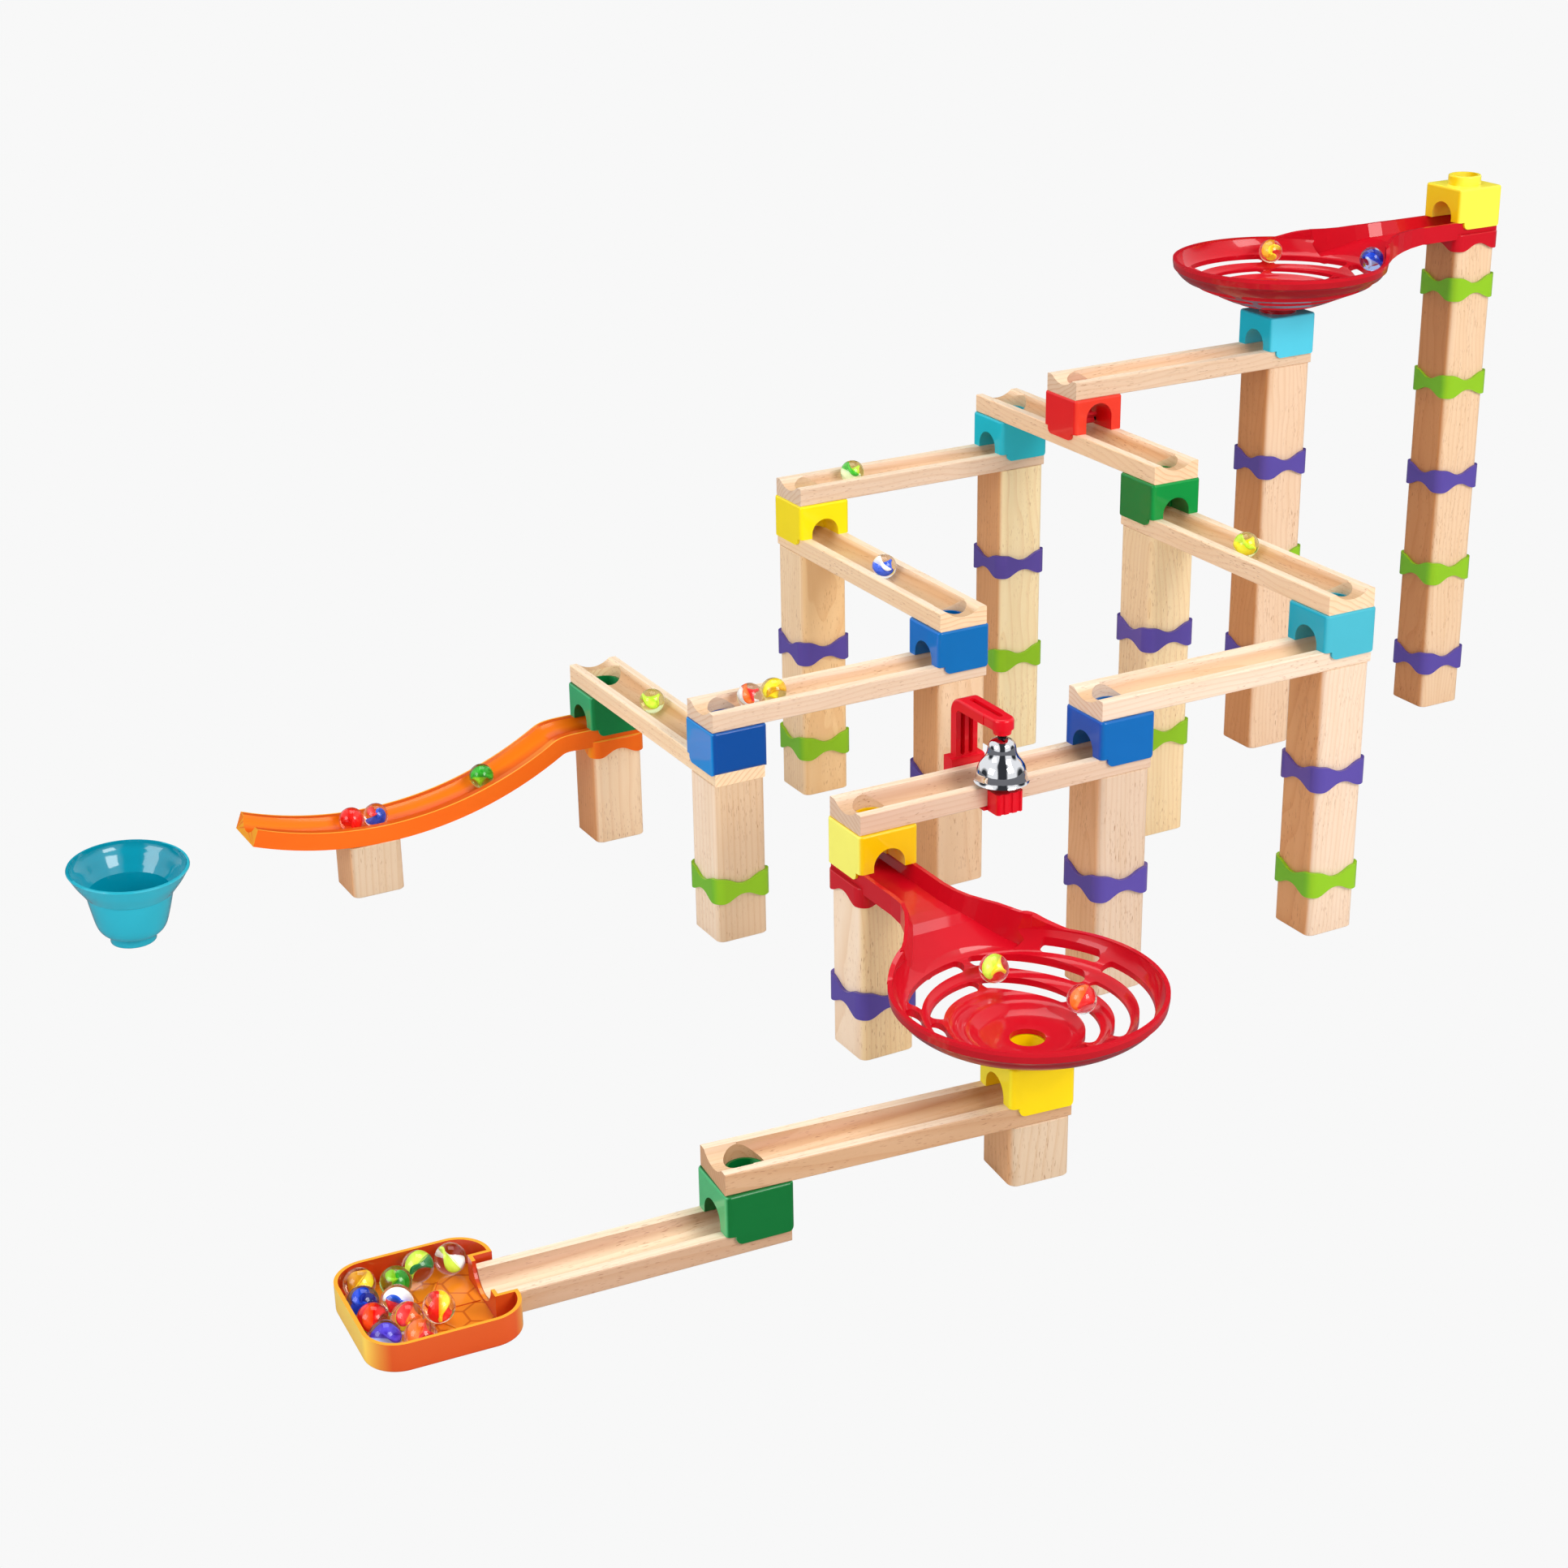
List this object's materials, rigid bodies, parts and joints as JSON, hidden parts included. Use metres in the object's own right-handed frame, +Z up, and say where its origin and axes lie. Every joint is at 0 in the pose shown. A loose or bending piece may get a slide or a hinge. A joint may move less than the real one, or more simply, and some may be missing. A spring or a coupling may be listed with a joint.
{
  "type": "marble run",
  "caption": "Beech and plastic marble run: stacked towers, sloping grooved rails, corner cubes, slotted spiral funnels, slide, bell, switch, catch cup and tray with glass marbles.",
  "frame": {"origin": "centre of the object's footprint on the floor", "axes": "+X along the long side of the layout, from the catch tray towards the tallest tower; +Y away from the viewer, across the layout; +Z up from the floor"},
  "size_m": [1.0239, 0.6195, 0.3915],
  "materials": {
    "beech_tower": "satin",
    "beech_rail": "satin",
    "purple": "gloss",
    "lime": "gloss",
    "yellow": "gloss",
    "cyan": "gloss",
    "red": "gloss",
    "green": "gloss",
    "blue": "gloss",
    "crimson": "gloss",
    "orange": "gloss",
    "turquoise": "gloss",
    "bell_chrome": "polished",
    "steel": "satin",
    "marble_glass": "clear with coloured swirl"
  },
  "bodies": {
    "run": {"blocks_a": "beech_tower", "blocks_b": "beech_tower", "blocks_d": "beech_tower", "blocks_e": "beech_tower", "blocks_f": "beech_tower", "blocks_g": "beech_tower", "blocks_h": "beech_tower", "blocks_i": "beech_tower", "blocks_m": "beech_tower", "blocks_n": "beech_tower", "block_j": "beech_tower", "low_blocks": "beech_tower", "purple_collars": "purple", "green_collars": "lime", "rail_1": "beech_rail", "rail_2": "beech_rail", "rail_3": "beech_rail", "rail_4": "beech_rail", "rail_5": "beech_rail", "rail_6": "beech_rail", "rail_7": "beech_rail", "rail_8": "beech_rail", "rail_9": "beech_rail", "rail_10": "beech_rail", "rail_11": "beech_rail", "cube_a": "yellow", "cube_b": "cyan", "cube_c": "red", "cube_d": "cyan", "cube_e": "green", "cube_f": "cyan", "cube_g": "yellow", "cube_h": "blue", "cube_i": "blue", "cube_j": "green", "cube_m": "blue", "cube_n": "yellow", "cube_p": "yellow", "cube_q": "green", "funnel_1": "crimson", "funnel_2": "crimson", "slide": "orange", "tray": "orange", "cup": "turquoise", "bell_bracket": "crimson", "bell_pin": "steel", "switch_pin": "steel", "tray_marbles": "marble_glass"},
    "bell": {"bell": "bell_chrome", "bell_hook": "steel"},
    "switch": {"switch_flap": "red"},
    "marble_on_rail_3": {"marble_rail_3": "marble_glass"},
    "marble_on_rail_4": {"marble_rail_4": "marble_glass"},
    "marble_on_rail_5": {"marble_rail_5": "marble_glass"},
    "marbles_on_rail_6": {"marbles_rail_6": "marble_glass"},
    "marble_on_rail_7": {"marble_rail_7": "marble_glass"},
    "upper_marble_on_slide": {"marble_slide_upper": "marble_glass"},
    "lower_marbles_on_slide": {"marbles_slide_lower": "marble_glass"},
    "marbles_in_funnel_1": {"marbles_funnel_1": "marble_glass"},
    "marbles_in_funnel_2": {"marbles_funnel_2": "marble_glass"}
  },
  "joints": [
    {"name": "bell_swing", "type": "hinge", "parent": "run", "child": "bell", "pos_m": [-0.07083, -0.09484, 0.1842], "axis": [1, 0, 0], "range_deg": [-12, 12]},
    {"name": "switch_tilt", "type": "hinge", "parent": "run", "child": "switch", "pos_m": [0.17377, 0.18846, 0.2606], "axis": [-1, 0, 0], "range_deg": [-40, 0]},
    {"name": "rail_3_roll", "type": "slide", "parent": "run", "child": "marble_on_rail_3", "axis": [0, -0.9999, -0.0129], "range_m": [-0.092, 0.072]},
    {"name": "rail_4_roll", "type": "slide", "parent": "run", "child": "marble_on_rail_4", "axis": [-0.9999, 0, -0.0143], "range_m": [-0.127, 0.019]},
    {"name": "rail_5_roll", "type": "slide", "parent": "run", "child": "marble_on_rail_5", "axis": [0, -0.9999, -0.0129], "range_m": [-0.097, 0.067]},
    {"name": "rail_6_roll", "type": "slide", "parent": "run", "child": "marbles_on_rail_6", "axis": [-0.9999, 0, -0.0143], "range_m": [-0.1256, 0.0038]},
    {"name": "rail_7_roll", "type": "slide", "parent": "run", "child": "marble_on_rail_7", "axis": [0, 0.9999, -0.0129], "range_m": [-0.104, 0.06]},
    {"name": "slide_roll_upper", "type": "hinge", "parent": "run", "child": "upper_marble_on_slide", "pos_m": [-0.30923, 0.27696, 0.27985], "axis": [0, 1, 0], "range_deg": [-7, 13.9]},
    {"name": "slide_roll_lower", "type": "hinge", "parent": "run", "child": "lower_marbles_on_slide", "pos_m": [-0.30923, 0.27696, 0.27985], "axis": [0, 1, 0], "range_deg": [0, 14]},
    {"name": "funnel_1_circle", "type": "hinge", "parent": "run", "child": "marbles_in_funnel_1", "pos_m": [0.33277, 0.18846, 0.35], "axis": [0, 0, 1], "continuous": true},
    {"name": "funnel_2_circle", "type": "hinge", "parent": "run", "child": "marbles_in_funnel_2", "pos_m": [-0.14423, -0.23604, 0.105], "axis": [0, 0, 1], "continuous": true}
  ]
}
